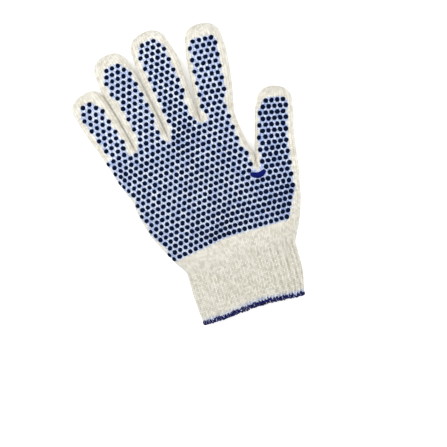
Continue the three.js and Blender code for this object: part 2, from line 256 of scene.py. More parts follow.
# Each thread's turns round the whole edge, where they start, and which way they wind
HEM_THREADS = [(109, 0.0, 1), (91, 1.9, -1), (59, 3.4, 1)]
HEM_MIDDLE = 0.15  # the band's middle along the glove
HEM_REACH = 1.35  # half of the band's width along the glove
HEM_THICK = 1.25  # half of its thickness
HEM_NARROWING = 0.36  # share of the reach that is lost in the mouth's middle, where the edges bow
HEM_LOOSE = (-0.75, 1.35)  # how much longer a turn is on the cloth's side, as a share
HEM_LOOSE_BACK = 0.12  # share of that by which it is shorter on the open side
HEM_SWING = (-1.5, 1.5)  # how far a turn leans along the edge
HEM_STRAY = (-0.45, 0.45)  # how far it lies off the band's middle
HEM_LOWEST = 0.02
HEM_OVERHANG = 1.4  # how far the frame's own hem reaches past the cuff's edge
# The cloth above the overlock looks paler and bluer: how strongly, and the run that it fades over
HEM_PALENESS = 0.75
HEM_PALE_FADE = (2.4, 6.6)

# Finishes: what varies has a scale for each metre, and a strength
FIBRE_SCALE = 2600.0
PATCH_SCALE = 90.0
PLIES = 3.0  # twists of the yarn for each course, and how they lean along a stitch's leg
PLY_LEAN = 2.2
RELIEF_LIGHT = 0.9  # how much the stitches' relief and the plies lighten, as painted shade in the grooves and between plies, and how much the fibres and single stitches do, as the yarn's own uneven tone
PLY_LIGHT = 0.14
FIBRE_LIGHT = 0.8
STITCH_LIGHT = 0.5
DARKENING = 0.47
HAZE_STRENGTH = 0.93
FILM_SIDE_START = 0.02  # metres across the part, where painted shade starts to darken the film towards the thumb's side
FILM_SIDE_WIDTH = 0.03
FILM_SIDE_SHADE = 0.15
THREAD_SCALE = 1500.0
CLOUD_SCALE = 420.0
GRAIN_SCALE = 3200.0
FLOOR_SCALE = 3.0

# Photograph's frame: its middle on the glove, the camera's turn and height, and the frame's width
VIEW_MIDDLE = (-3.5, 70.9)
VIEW_TURN = math.radians(-17.0)
VIEW_WIDTH = 353.1
CAMERA_HEIGHT = 1800.0
SENSOR_WIDTH = 36.0
# Stage, in metres and watts
FLOOR_SIZE = 6.0
FLOOR_DROP = 0.0003
CLIP_END = 20.0
WORLD_STRENGTH = 0.9
LIGHTS = {  # place, size, power; each aims at the part's origin
    "key": ((-0.7, 0.6, 1.1), 1.0, 9.0),
    "fill": ((0.9, -0.5, 1.0), 1.4, 7.0),
}


def frame_shift():
    """From the cuff's open edge to the part's own origin."""
    low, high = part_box("hem_overlock")
    return Vector(((low.x + high.x) / 2, low.y + HEM_OVERHANG * MM, 0.0))


SHIFT = frame_shift()


# Small helpers on arrays

def ramp(values, start, end):
    """Rises softly from 0 at start to 1 at end."""
    t = np.clip((values - start) / (end - start), 0.0, 1.0)
    return t * t * (3 - 2 * t)


def unit(vectors):
    return vectors / np.maximum(np.linalg.norm(vectors, axis=-1, keepdims=True), 1e-9)


def run_along(points):
    """Distance along a line at each of its points."""
    return np.concatenate([[0], np.cumsum(np.linalg.norm(np.diff(points, axis=0), axis=1))])


def ring_steps(points, axis=0):
    """From the point before to the point after, at each point of a closed ring."""
    return np.roll(points, -1, axis=axis) - np.roll(points, 1, axis=axis)


def smooth_table(rows, count):
    """A smooth curve through the rows of a table, count rows out."""
    rows = np.array(rows, float)
    at = np.linspace(0, len(rows) - 1, count)
    one = np.clip(np.floor(at).astype(int), 0, len(rows) - 2)
    t = (at - one)[:, None]
    before = rows[np.maximum(one - 1, 0)]
    start = rows[one]
    end = rows[one + 1]
    after = rows[np.minimum(one + 2, len(rows) - 1)]
    first = end - before
    second = 2 * before - 5 * start + 4 * end - after
    third = 3 * start - before - 3 * end + after
    return 0.5 * (2 * start + first * t + second * t**2 + third * t**3)


def through(knots, values, at):
    """Smooth curves, one for each row of values, through knots and read at the places at."""
    knots = np.array(knots, float)
    slopes = np.gradient(values, knots, axis=1)
    one = np.clip(np.searchsorted(knots, at, side="right") - 1, 0, len(knots) - 2)
    width = knots[one + 1] - knots[one]
    t = (at - knots[one]) / width
    start = values[:, one]
    end = values[:, one + 1]
    rise = slopes[:, one] * width
    fall = slopes[:, one + 1] * width
    return (
        start * (2 * t**3 - 3 * t**2 + 1)
        + end * (3 * t**2 - 2 * t**3)
        + rise * (t**3 - 2 * t**2 + t)
        + fall * (t**3 - t**2)
    )


def averaged(values, reach):
    """Values with a moving average over 2 reach + 1 of them, ends kept."""
    padded = np.pad(values, reach, mode="reflect", reflect_type="odd")
    return np.convolve(padded, np.ones(2 * reach + 1) / (2 * reach + 1), mode="valid")


def read_at(at, known, values):
    """Each column of values that are known at some places, read at other places."""
    return np.stack([np.interp(at, known, column) for column in values.T], axis=1)


def finder_of(places):
    """Finds the nearest of some places in plan."""
    finder = KDTree(len(places))
    for number, (x, y) in enumerate(places):
        finder.insert((x, y, 0.0), number)
    finder.balance()
    return finder


def joined(parts):
    """Points and faces of several parts as one list of points and one of faces."""
    points = []
    faces = []
    start = 0
    for own_points, own_faces in parts:
        points.append(own_points)
        faces += [[start + number for number in face] for face in own_faces]
        start += len(own_points)
    return np.concatenate(points), faces


# Counting rows and columns of knit

def rows_for(length):
    """Rows in a length of cloth, as whole courses."""
    return ROWS_PER_COURSE * max(1, round(length / ROW_STEP / ROWS_PER_COURSE))


def column_shares(wales):
    """Places of the columns over a number of wales, from 0 to 1."""
    count = wales * COLUMNS_PER_WALE
    return np.arange(count + 1) / count


def spread(width, shares, left, right):
    """Places across a strip for columns that are evenly spaced on the cloth.

    left and right are the radii of the strip's folded edges, 0 where the cloth runs on flat."""
    width = np.asarray(width, float)[:, None]
    most = 0.49 * width  # the two folded edges of a narrow strip don't quite meet
    left = np.minimum(left, most)
    right = np.minimum(right, most)
    quarter = math.pi / 2
    length = width - left - right + quarter * (left + right)
    run = shares[None, :] * length
    back = length - run
    place = left + run - quarter * left
    turn_left = run / np.maximum(left, 1e-6)
    turn_right = back / np.maximum(right, 1e-6)
    place = np.where(run < quarter * left, left * (1 - np.cos(turn_left)), place)
    return np.where(back < quarter * right, width - right * (1 - np.cos(turn_right)), place)


# The glove's plan: edges of the fingers, then of the palm

def finger_line(name):
    """Middle line of a finger, finely stepped: points, half widths, directions and distance."""
    table = smooth_table(FINGERS[name][2], LINE_STEPS)
    points = table[:, :2]
    return points, table[:, 2], unit(np.gradient(points, axis=0)), run_along(points)


def side_points(points, half, heading, side):
    across = np.stack([heading[:, 1], -heading[:, 0]], axis=1)
    return points + side * half[:, None] * across


def parting_point(name):
    return np.array(PARTINGS[name][0], float)


def held_apart(edge, parting, side):
    """An edge kept on its own side of a parting line. side is 1 to stay right of it."""
    if parting is None:
        return edge
    line = np.array(PARTINGS[parting], float)
    x, y = edge.T
    limit = np.interp(y, line[:, 1], line[:, 0])
    gap = PARTING_GAP / 2 * np.clip((y - line[0, 1]) / PARTING_GAP_RUN, 0, 1)
    kept = side * np.maximum(side * x, side * limit + gap)
    return np.stack([np.where(y >= line[0, 1], kept, x), y], axis=1)


def finger_edges(name):
    """Left and right edge of a finger from its root to its tip, and what else its rows need."""
    tip = FINGERS[name][1]
    partings = NEIGHBOURS[name]
    points, half, heading, along = finger_line(name)
    middle = np.mean([parting_point(parting) for parting in partings if parting], axis=0)
    off_row = np.abs(((middle - points) * heading).sum(axis=1))
    root = int(off_row.argmin())
    run = along[-1] - along[root]
    round_rows = rows_for(TIP_STRETCH * tip) - 1
    stations = np.linspace(along[root], along[-1], rows_for(run) + 1)
    turn = np.linspace(0, math.pi / 2, round_rows + 2)[1:-1]
    reach = tip * np.sin(turn) ** (2 / TIP_POWER)
    centre = read_at(stations, along, points)
    facing = read_at(stations, along, heading)
    width = np.interp(stations, along, half)
    end_heading = heading[-1]
    centre = np.concatenate([centre, points[-1] + reach[:, None] * end_heading])
    facing = np.concatenate([facing, np.repeat(end_heading[None], round_rows, axis=0)])
    width = np.concatenate([width, half[-1] * np.cos(turn) ** (2 / TIP_POWER)])
    distance = np.concatenate([stations - stations[0], run + reach])
    fade = 1 - ramp(distance, 0, PARTING_REACH)
    edges = []
    for side, parting in zip((-1, 1), partings):
        edge = side_points(centre, width, facing, side)
        if parting:
            edge = edge + (parting_point(parting) - edge[0]) * fade[:, None]
        edges.append(held_apart(edge, parting, -side))
    pole = points[-1] + tip * end_heading
    return {
        "left": edges[0], "right": edges[1], "pole": pole, "heading": end_heading, "distance": distance,
    }


EDGES = {name: finger_edges(name) for name in FINGERS}
WALES = [finger[0] for finger in FINGERS.values()]
STRIPS = np.concatenate([[0], np.cumsum(WALES)])


def outer_side(y, column, name, side):
    """Side of the hand at the heights y: the palm's own, or the finger's root where it is wider."""
    palm = smooth_table(PALM, SIDE_STEPS)
    own = np.interp(y, palm[:, 0], palm[:, column])
    points, half, heading = finger_line(name)[:3]
    edge = side_points(points, half, heading, side)
    finger = np.interp(y, edge[:, 1], edge[:, 0], left=0.0)
    wider = np.maximum(own * side, finger * side) * side
    return averaged(wider, SIDE_AVERAGING)


def palm_lines():
    """The palm's rows: their heights, the thumb's row, and the places of the strips' boundaries.

    Each finger has a strip. Boundary 0 is the little finger's side, 4 lies between the index finger
    and the thumb, and 5 is the thumb's side."""
    lower = rows_for(THUMB_ROW - CUFF_TOP)
    upper = rows_for(FINGER_ROW - THUMB_ROW)
    v = np.concatenate([
        np.linspace(CUFF_TOP, THUMB_ROW, lower + 1),
        np.linspace(THUMB_ROW, FINGER_ROW, upper + 1)[1:],
    ])
    roots = [
        EDGES["little_finger"]["left"][0],
        parting_point("little_ring"),
        parting_point("ring_middle"),
        parting_point("middle_index"),
        EDGES["index_finger"]["right"][0],
    ]
    thumb_root = EDGES["thumb"]["right"][0]
    crotch = parting_point("index_thumb")
    lines = np.zeros((len(v), 6, 2))
    for j, start in enumerate([TILT_START] * 4 + [THUMB_ROW]):
        lines[:, j, 1] = v + (roots[j][1] - FINGER_ROW) * ramp(v, start, FINGER_ROW)
    lines[:, 5, 1] = v + (thumb_root[1] - THUMB_ROW) * ramp(v, TILT_START, THUMB_ROW)
    left = outer_side(lines[:, 0, 1], 1, "little_finger", -1)
    left += (roots[0][0] - left[-1]) * ramp(v, LITTLE_START, FINGER_ROW)
    right = outer_side(lines[:, 5, 1], 2, "thumb", 1)
    right += (thumb_root[0] - right[lower]) * ramp(v, THUMB_START, THUMB_ROW)
    side = outer_side(lines[:, 4, 1], 2, "index_finger", 1)
    side = held_apart(np.stack([side, lines[:, 4, 1]], axis=1), "index_thumb", -1)[:, 0]
    side += (crotch[0] - side[lower]) * (1 - ramp(v, THUMB_ROW, THUMB_ROW + PARTING_REACH))
    side += (roots[4][0] - side[-1]) * ramp(v, INDEX_START, FINGER_ROW)
    first_width = right[0] - left[0]
    even = spread([first_width], STRIPS / STRIPS[-1], EDGE, EDGE)[0] / first_width
    at_crotch = (crotch[0] - left[lower]) / (right[lower] - left[lower])
    share = even[4] + (at_crotch - even[4]) * ramp(v, STRIPS_START, THUMB_ROW)
    lines[:, 0, 0] = left
    lines[:, 4, 0] = np.where(v <= THUMB_ROW, left + share * (right - left), side)
    lines[:, 5, 0] = right
    for j in (1, 2, 3):
        start = even[j] / even[4]
        end = (roots[j][0] - roots[0][0]) / (roots[4][0] - roots[0][0])
        part = start + (end - start) * ramp(v, STRIPS_START, FINGER_ROW)
        lines[:, j, 0] = left + part * (lines[:, 4, 0] - left)
    return v, lower, lines


PALM_V, PALM_LOWER, PALM_LINES = palm_lines()
LOWER_ROWS = slice(0, PALM_LOWER + 1)
UPPER_ROWS = slice(PALM_LOWER, None)


def palm_plan(rows, strips):
    """Places of the knit's columns on some of the palm's rows, over a number of strips."""
    lines = PALM_LINES[rows]
    v = PALM_V[rows, None]
    finger_open = ramp(v, FINGER_ROW - PARTING_REACH, FINGER_ROW) * EDGE
    thumb_open = ramp(v, THUMB_ROW - PARTING_REACH, THUMB_ROW) * EDGE
    opened = [EDGE, finger_open, finger_open, finger_open, thumb_open][:strips] + [EDGE]
    parts = []
    for j in range(strips):
        width = lines[:, j + 1, 0] - lines[:, j, 0]
        x = lines[:, j, :1] + spread(width, column_shares(WALES[j]), opened[j], opened[j + 1])
        parts.append(x if j == strips - 1 else x[:, :-1])
    x = np.concatenate(parts, axis=1)
    wales = np.arange(x.shape[1]) / COLUMNS_PER_WALE
    y = through(STRIPS[: strips + 1], lines[:, : strips + 1, 1], wales)
    return np.stack([x, y], axis=2)


def finger_plan(name, root_row):
    """Places of a finger's columns, from the palm's last row to the tip."""
    left = EDGES[name]["left"]
    across = EDGES[name]["right"] - left
    width = np.linalg.norm(across, axis=1)
    part = spread(width, column_shares(FINGERS[name][0]), EDGE, EDGE) / width[:, None]
    plan = left[:, None] + across[:, None] * part[:, :, None]
    fade = 1 - ramp(EDGES[name]["distance"], *ROOT_FADE)
    return plan + (root_row - plan[0]) * fade[:, None, None]


def cuff_plan():
    table = smooth_table(CUFF, SIDE_STEPS)
    y = np.linspace(CUFF[0][0], CUFF_TOP, rows_for(CUFF_TOP - CUFF[0][0]) + 1)
    left, right = read_at(y, table[:, 0], table[:, 1:]).T
    x = left[:, None] + spread(right - left, column_shares(CUFF_WALES), EDGE, EDGE)
    return np.stack([x, np.repeat(y[:, None], x.shape[1], axis=1)], axis=2)


CUFF_PLAN = cuff_plan()


def glove_outline():
    """The glove's whole outline in plan, from the cuff's left end round to its right end."""
    parts = [CUFF_PLAN[:, 0], PALM_LINES[:, 0]]
    for name, edges in EDGES.items():
        if name == "thumb":
            parts.append(PALM_LINES[UPPER_ROWS, 4][::-1])
        parts += [edges["left"], edges["pole"][None], edges["right"][::-1]]
    parts += [PALM_LINES[LOWER_ROWS, 5][::-1], CUFF_PLAN[::-1, -1]]
    line = np.concatenate(parts)
    moved = np.linalg.norm(np.diff(line, axis=0), axis=1) > 1e-4
    return line[np.concatenate([[True], moved])]


OUTLINE = glove_outline()
OUTLINE_FINDER = finder_of((OUTLINE[:-1] + OUTLINE[1:]) / 2)


def edge_distance(places):
    """Distance in plan from each place to the glove's outline, from its three nearest stretches."""
    flat = places.reshape(-1, 2)
    near = np.array([[hit[1] for hit in OUTLINE_FINDER.find_n((x, y, 0.0), 3)] for x, y in flat])
    best = np.full(len(flat), np.inf)
    for stretch in near.T:
        start = OUTLINE[stretch]
        step = OUTLINE[stretch + 1] - start
        t = ((flat - start) * step).sum(axis=1) / (step**2).sum(axis=1)
        foot = start + np.clip(t, 0, 1)[:, None] * step
        best = np.minimum(best, np.linalg.norm(flat - foot, axis=1))
    return best.reshape(places.shape[:-1])


# Heights of the two layers

def rounded(distance):
    t = np.clip(distance / EDGE, 0, 1)
    return np.sqrt(1 - (1 - t) ** 2)


def gathers(x, y):
    reach = ramp(x, *GATHER_ACROSS) * (1 - ramp(y, *GATHER_FADE))
    sway = GATHER_SWAY * np.sin(x / GATHER_SWAY_RUN)
    return GATHER_HEIGHT * reach * np.sin(2 * np.pi * x / GATHER_STEP + sway + y / GATHER_LEAN)


def ripple(x, y):
    """Soft unevenness of the upper layer."""
    waves = [high * np.sin(x / across + y / along + start) for high, across, along, start in RIPPLES]
    return sum(waves) + gathers(x, y)


def upper_height(places, distance):
    x = places[..., 0]
    y = places[..., 1]
    swell = PALM_SWELL * ramp(distance, *PALM_SWELL_ACROSS) * ramp(y, *PALM_SWELL_ALONG)
    belly = BELLY - MOUTH_SINK * (1 - ramp(y, *MOUTH_SINK_FADE))
    body = EDGE * (1 + rounded(distance)) + belly * (1 - np.exp(-distance / BELLY_REACH))
    return body + swell + ripple(x, y) * (1 - np.exp(-distance / RIPPLE_REACH))


def lower_height(distance):
    return LOWER_LEVEL + (EDGE - LOWER_LEVEL) * (1 - rounded(distance))


def layers(plan):
    """The closed ring of cloth over each row of a plan: upper layer, then back under it."""
    distance = edge_distance(plan)
    top = np.concatenate([plan, upper_height(plan, distance)[..., None]], axis=2)
    bottom = np.concatenate([plan, lower_height(distance)[..., None]], axis=2)
    return np.concatenate([top, bottom[:, -2:0:-1]], axis=1)


def outward(base):
    """Directions out of the cloth at every point of a ring of cloth."""
    return unit(np.cross(ring_steps(base, axis=1), np.gradient(base, axis=0)))


# Knit stitches

def slanted(base):
    """Rows of points drawn down towards each wale's middle, so that they follow the stitches' legs.

    The lean starts over the first rows: the cuff's edge, or rows of the cloth before it."""
    rows, columns = base.shape[:2]
    index = np.arange(rows)[:, None]
    hold = np.minimum(index / LEAD_ROWS, 1)
    leg = LEG_SHIFT[np.arange(columns) % COLUMNS_PER_WALE]
    place = index - STITCH_SLANT * ROWS_PER_COURSE * leg * hold
    low = np.clip(np.floor(place).astype(int), 0, rows - 2)
    t = (place - low)[..., None]
    column = np.arange(columns)
    return base[low, column] * (1 - t) + base[low + 1, column] * t


def stitch_heights(rows, columns):
    row_class = np.arange(rows) % ROWS_PER_COURSE
    column_class = np.arange(columns) % COLUMNS_PER_WALE
    return STITCH_ROWS[row_class[:, None], column_class[None, :]]


def rib_heights(base):
    """Two wales make a rib. They fade out in the palm, and are deeper on the thumb's side."""
    column = np.arange(base.shape[1])
    wave = 0.5 + 0.5 * np.cos(np.pi * (column / COLUMNS_PER_WALE - 0.5))
    deeper = RIB_LEAST + (1 - RIB_LEAST) * ramp(base[..., 0], *RIB_ACROSS)
    return (wave - 1) * RIB_DEPTH * deeper * (1 - ramp(base[..., 1], *RIB_FADE))


def haze_amount(base):
    """How strongly the print's pale blue film shows: near dots, on the upper layer alone."""
    haze = np.zeros(base.shape[:2])
    top = base[:, : base.shape[1] // 2 + 1, :2]
    places = top.reshape(-1, 2)
    away = [sum(hit[2] for hit in PRINT_FINDER.find_n((x, y, 0.0), 2)) for x, y in places]
    film = 1 - ramp(np.array(away), *FILM_FADE)
    haze[:, : top.shape[1]] = film.reshape(top.shape[:2])
    return haze


def hem_paleness(base):
    """How strongly the blue of that film shows in the cuff, which is paler and bluer by its hem."""
    run = np.arange(len(base)) * ROW_STEP
    paleness = HEM_PALENESS * (1 - ramp(run, *HEM_PALE_FADE))
    return np.repeat(paleness[:, None], base.shape[1], axis=1)


# Meshes

def add_object(name, data):
    made = bpy.data.objects.new(name, data)
    bpy.context.scene.collection.objects.link(made)
    return made


def finish_mesh(name, vertices, faces):
    mesh = bpy.data.meshes.new(name)
    points = np.asarray(vertices) * MM + np.array(SHIFT)
    mesh.from_pydata(points.tolist(), [], faces)
    mesh.shade_smooth()
    return add_object(name, mesh)


def declare(piece, slot, *nodes):
    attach(piece, "root")
    if nodes:
        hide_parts(*nodes)


def ring_faces(rows, columns, first=0, turned=False, closed=False):
    """Quads of a tube of rows and columns whose first vertex has the number first.

    turned faces them the other way, and closed joins the last row to the first."""
    i = np.arange(rows if closed else rows - 1)[:, None]
    k = np.arange(columns)[None, :]
    row = first + i * columns
    next_row = first + (i + 1) % rows * columns
    next_column = (k + 1) % columns
    quads = [row + k, row + next_column, next_row + next_column, next_row + k]
    if turned:
        quads = [quads[0], quads[3], quads[2], quads[1]]
    return np.stack(quads, axis=2).reshape(-1, 4).tolist()


def rim_faces(outer_start, outer_count, inner_start, inner_count, at_end):
    """Faces that join a fine outer ring to a coarse inner ring."""
    each = outer_count // inner_count
    faces = []
    for k in range(inner_count):
        fine = [outer_start + (k * each + n) % outer_count for n in range(each + 1)]
        coarse = [inner_start + k, inner_start + (k + 1) % inner_count]
        faces.append(fine + coarse[::-1] if at_end else fine[::-1] + coarse)
    return faces


def knit_uv(mesh, rows, columns):
    """UV map in wales and courses on the outer layer. The rest of the piece gets a plain corner."""
    i, k = np.meshgrid(np.arange(rows - 1), np.arange(columns), indexing="ij")
    blocks = []
    for di, dk in ((0, 0), (0, 1), (1, 1), (1, 0)):
        blocks.append(np.stack([(k + dk) / COLUMNS_PER_WALE, (i + di) / ROWS_PER_COURSE], axis=2))
    outer = np.stack(blocks, axis=2).reshape(-1, 2)
    uv = np.zeros((len(mesh.loops), 2))
    uv[: len(outer)] = outer
    layer = mesh.uv_layers.new(name="knit")
    layer.data.foreach_set("uv", uv.astype(np.float32).ravel())


class Cloth:
    """A tube of knit: its smooth surface as rows of closed rings, and the way out of it.

    before holds the rows of the cloth that it grows out of, so that stitches run on unbroken."""

    def __init__(self, plan, before=None):
        own = layers(plan)
        self.lead = 0 if before is None else len(before)
        self.whole = own if before is None else np.concatenate([before, own])
        self.out = outward(self.whole)

    def last_rows(self, first, last):
        """The last few rows under a finger's columns, first to last, as rings of their own."""
        return self.whole[-LEAD_ROWS - 1 : -1, self.ring_part(first, last)]

    def ring_part(self, first, last):
        ring = self.whole.shape[1]
        return list(range(first, last + 1)) + [ring - c for c in range(last - 1, first, -1)]

    def meet(self, other, first, last):
        """Gives the last row the same way out as the first row of the cloth that goes on from it."""
        self.out[-1, self.ring_part(first, last)] = other.out[other.lead]

    def stitched(self):
        """Outer surface with its stitches, the heights that paint shade into their grooves, the smooth
        surface, the way out.
        """
        heights = stitch_heights(*self.whole.shape[:2])
        ribs = rib_heights(self.whole)
        lift = STITCH_HEIGHT * (heights - STITCH_BASE) + ribs
        outer = slanted(self.whole) + self.out * lift[..., None]
        outer[..., 2] = np.maximum(outer[..., 2], LOWEST)
        # The valleys of the ribs and gathers deepen the painted shade in the grooves
        folds = RIB_SHADE * ribs / RIB_DEPTH
        folds += GATHER_SHADE * gathers(self.whole[..., 0], self.whole[..., 1])
        keep = slice(self.lead, None)
        return outer[keep], (heights + folds)[keep], self.whole[keep], self.out[keep]


def cloth_piece(name, node, surface, haze, pole=None, slot="knit"):
    """A closed piece: fine outer layer with its stitches, coarse inner layer, closed rims or tip."""
    outer, heights, base, out = surface
    rows, columns = outer.shape[:2]
    inner_rows = np.unique(np.concatenate([np.arange(0, rows, INNER_STEP), [rows - 1]]))
    inner_columns = np.arange(0, columns, COLUMNS_PER_WALE)
    inner = (base - out * WALL)[inner_rows][:, inner_columns]
    vertices = np.concatenate([outer.reshape(-1, 3), inner.reshape(-1, 3)])
    inner_first = rows * columns
    inner_count = len(inner_columns)
    last_outer = (rows - 1) * columns
    last_inner = inner_first + (len(inner_rows) - 1) * inner_count
    faces = ring_faces(rows, columns)
    faces += ring_faces(len(inner_rows), inner_count, inner_first, turned=True)
    faces += rim_faces(0, columns, inner_first, inner_count, False)
    if pole is None:
        faces += rim_faces(last_outer, columns, last_inner, inner_count, True)
    else:
        tips = [(pole[0], pole[1], EDGE), (pole[0], pole[1] - WALL, EDGE)]
        number = len(vertices)
        vertices = np.concatenate([vertices, tips])
        for k in range(columns):
            faces.append([last_outer + k, last_outer + (k + 1) % columns, number])
        for k in range(inner_count):
            faces.append([last_inner + (k + 1) % inner_count, last_inner + k, number + 1])
    piece = finish_mesh(name, vertices, faces)
    mesh = piece.data
    knit_uv(mesh, rows, columns)
    # relief darkens the knit's colour in its grooves, as painted shade
    for title, values, elsewhere in (("relief", heights, 0.5), ("haze", haze, 0.0)):
        spots = np.full(len(mesh.vertices), elsewhere, np.float32)
        spots[: rows * columns] = values.ravel()
        mesh.attributes.new(title, "FLOAT", "POINT").data.foreach_set("value", spots)
    declare(piece, slot, node)
    return piece


# Dots

def vector_at(length, lean):
    return np.array([length * math.sin(math.radians(lean)), length * math.cos(math.radians(lean))])


def dot_places():
    """Middles of the dots: one grid over the whole glove that turns with the fingers."""
    centres = np.array([row[:2] for row in DOT_GRIDS], float)
    origins = np.array([row[2:4] for row in DOT_GRIDS], float)
    steps = np.array([vector_at(*row[4:6]) for row in DOT_GRIDS])
    columns = np.array([vector_at(*row[6:8]) for row in DOT_GRIDS])
    found = {}
    for r in range(len(DOT_GRIDS)):
        for i in DOT_NUMBERS:
            for j in DOT_NUMBERS:
                grids = origins + i * steps + j * columns
                place = grids[r]
                away = np.linalg.norm(centres - place, axis=1)
                outside = away[r] > away.min() + DOT_OVERLAP or away[r] > DOT_PART_REACH
                if outside or (i, j) in found:
                    continue
                for _ in range(DOT_BLEND_ROUNDS):
                    away = np.linalg.norm(centres - place, axis=1)
                    weight = np.exp(-((away / DOT_BLEND) ** 2)) + 1e-9
                    place = (weight[:, None] * grids).sum(axis=0) / weight.sum()
                found[(i, j)] = place
    return np.array(list(found.values()))


def finger_place(place, name):
    """The finger's row nearest to a place, and the place's distance from its left and right edge."""
    edges = EDGES[name]
    middle = (edges["left"] + edges["right"]) / 2
    near = int(np.linalg.norm(middle - place, axis=1).argmin())
    across = edges["right"][near] - edges["left"][near]
    width = np.linalg.norm(across)
    offset = ((place - middle[near]) * across).sum() / max(width, 1e-6)
    return near, offset + width / 2, width / 2 - offset


def in_tip_margin(place, name):
    """True for a place in the undotted margin at a finger's tip."""
    tip, middle, growth = DOT_MARGINS[name][2:]
    heading = EDGES[name]["heading"]
    away = place - EDGES[name]["pole"]
    back = -(away * heading).sum()
    across = away[0] * heading[1] - away[1] * heading[0]
    return back < TIP_REGION and back < tip + growth * (across - middle) ** 2


def is_inside(place):
    """True for a place in plan inside the glove's outline."""
    start = OUTLINE
    end = np.roll(OUTLINE, -1, axis=0)
    spans = (start[:, 1] > place[1]) != (end[:, 1] > place[1])
    start = start[spans]
    step = end[spans] - start
    crossing = start[:, 0] + (place[1] - start[:, 1]) * step[:, 0] / step[:, 1]
    return (crossing > place[0]).sum() % 2 == 1


def on_palm_print(x, y):
    """True for a place on the palm between the print's lower boundary and the margins at its sides."""
    floor = np.array(DOT_FLOOR)
    if y > DOT_CEILING or (x < floor[-1, 0] and y < np.interp(x, floor[:, 0], floor[:, 1])):
        return False
    left_line = PALM_LINES[:, 0]
    if y < FINGER_ROW and x < np.interp(y, left_line[:, 1], left_line[:, 0]) + DOT_LEFT:
        return False
    right_line = PALM_LINES[UPPER_ROWS, 4] if y > THUMB_ROW else PALM_LINES[LOWER_ROWS, 5]
    return x <= np.interp(y, right_line[:, 1], right_line[:, 0]) - DOT_RIGHT


def is_dotted(place):
    if not is_inside(place):
        return False
    if any(np.linalg.norm(parting_point(name) - place) < limit for name, limit in DOT_CROTCHES.items()):
        return False
    for name, (left, right, *_) in DOT_MARGINS.items():
        near, from_left, from_right = finger_place(place, name)
        if near > FINGER_MARGIN_ROWS and min(from_left, from_right) > -FINGER_OUTSIDE:
            return from_left > left and from_right > right and not in_tip_margin(place, name)
    from_smear = place - SMEAR_CENTRE
    around = np.linalg.norm(from_smear)
    beside_smear = around > SMEAR_REACH or from_smear[1] > SMEAR_ENDS
    return on_palm_print(*place) and around > SMEAR_HOLLOW and beside_smear


def smear_arc():
    """Points along the middle of the arc of print that ran together."""
    return SMEAR_CENTRE + SMEAR_RADIUS * np.stack([np.cos(SMEAR_ARC), np.sin(SMEAR_ARC)], axis=1)


DOTS = np.array([place for place in dot_places() if is_dotted(place)])
PRINT_FINDER = finder_of(np.concatenate([DOTS, smear_arc()]))


def deselect_all():
    if bpy.context.mode != "OBJECT":
        bpy.ops.object.mode_set(mode="OBJECT")
    bpy.ops.object.select_all(action="DESELECT")


def cut_and_squash(point, normals, factors):
    """Cuts off and closes what lies behind planes through a point of the new shape, and scales it."""
    bpy.ops.object.mode_set(mode="EDIT")
    for normal in normals:
        bpy.ops.mesh.select_all(action="SELECT")
        bpy.ops.mesh.bisect(
            plane_co=point, plane_no=normal, use_fill=True, clear_inner=True, clear_outer=False
        )
    bpy.ops.mesh.select_all(action="SELECT")
    bpy.ops.transform.resize(value=factors)
    bpy.ops.object.mode_set(mode="OBJECT")


def points_of(piece):
    return np.array([vertex.co[:] for vertex in piece.data.vertices])


def dome_shape():
    """One dot, modelled as the upper part of a squashed ball. Returns vertices and faces."""
    deselect_all()
    bpy.ops.mesh.primitive_uv_sphere_add(segments=DOT_SIDES, ring_count=DOT_RINGS, radius=1.0)
    ball = bpy.context.object
    cut_and_squash((0, 0, DOT_CUT), [(0, 0, 1)], (DOT_RADIUS, DOT_RADIUS, DOT_HEIGHT))
    vertices = points_of(ball)
    faces = [list(face.vertices) for face in ball.data.polygons]
    bpy.data.objects.remove(ball, do_unlink=True)
    return vertices, faces


def surface_point(places):
    """Points on the upper layer over places in plan, and the directions out of it."""
    step = 0.5
    heights = []
    for move in ((0, 0), (step, 0), (-step, 0), (0, step), (0, -step)):
        moved = places + np.array(move)
        heights.append(upper_height(moved, edge_distance(moved)))
    middle, right, left, up, down = heights
    slope_x = (right - left) / (2 * step)
    slope_y = (up - down) / (2 * step)
    out = unit(np.stack([-slope_x, -slope_y, np.ones(len(places))], axis=1))
    return np.concatenate([places, middle[:, None]], axis=1), out


def dot_piece():
    """Every dot, laid on the cloth with its own small turn, size and squash."""
    shape, faces = dome_shape()
    rng = random.Random(DOT_SEED)
    parts = []
    for point, direction in zip(*surface_point(DOTS)):
        spin = Matrix.Rotation(rng.uniform(0, 2 * math.pi), 3, "Z")
        size = rng.uniform(*DOT_SIZES) * (1 + DOT_GROWTH * ramp(point[0], *DOT_GROWTH_ACROSS))
        squash = rng.uniform(*DOT_SQUASHES)
        height = rng.uniform(*DOT_HEIGHTS)
        local = shape * np.array([size * squash, size / squash, height])
        tilt = Vector((0, 0, 1)).rotation_difference(Vector(direction)).to_matrix()
        placed = local @ np.array(tilt @ spin).T
        parts.append((placed + point + direction * DOT_LIFT, faces))
    piece = finish_mesh("raised_dots", *joined(parts))
    declare(piece, "dot_print")
    return piece


def round_ended(local):
    """The arc's points with its thickness shrinking round at both ends."""
    x, y = local[:, 0], local[:, 1]
    depth = np.min([SMEAR_CUT + slope * x - y for slope in SMEAR_SLOPES], axis=0)
    to_end = 1 - np.clip(depth / SMEAR_ROUNDING, 0, 1)
    taper = np.sqrt(1 - SMEAR_THINNING * to_end**2)
    around = np.hypot(x, y)
    middle = SMEAR_RADIUS + (around - SMEAR_RADIUS) * taper
    return np.stack([x * middle / around, y * middle / around, local[:, 2] * taper], axis=1)


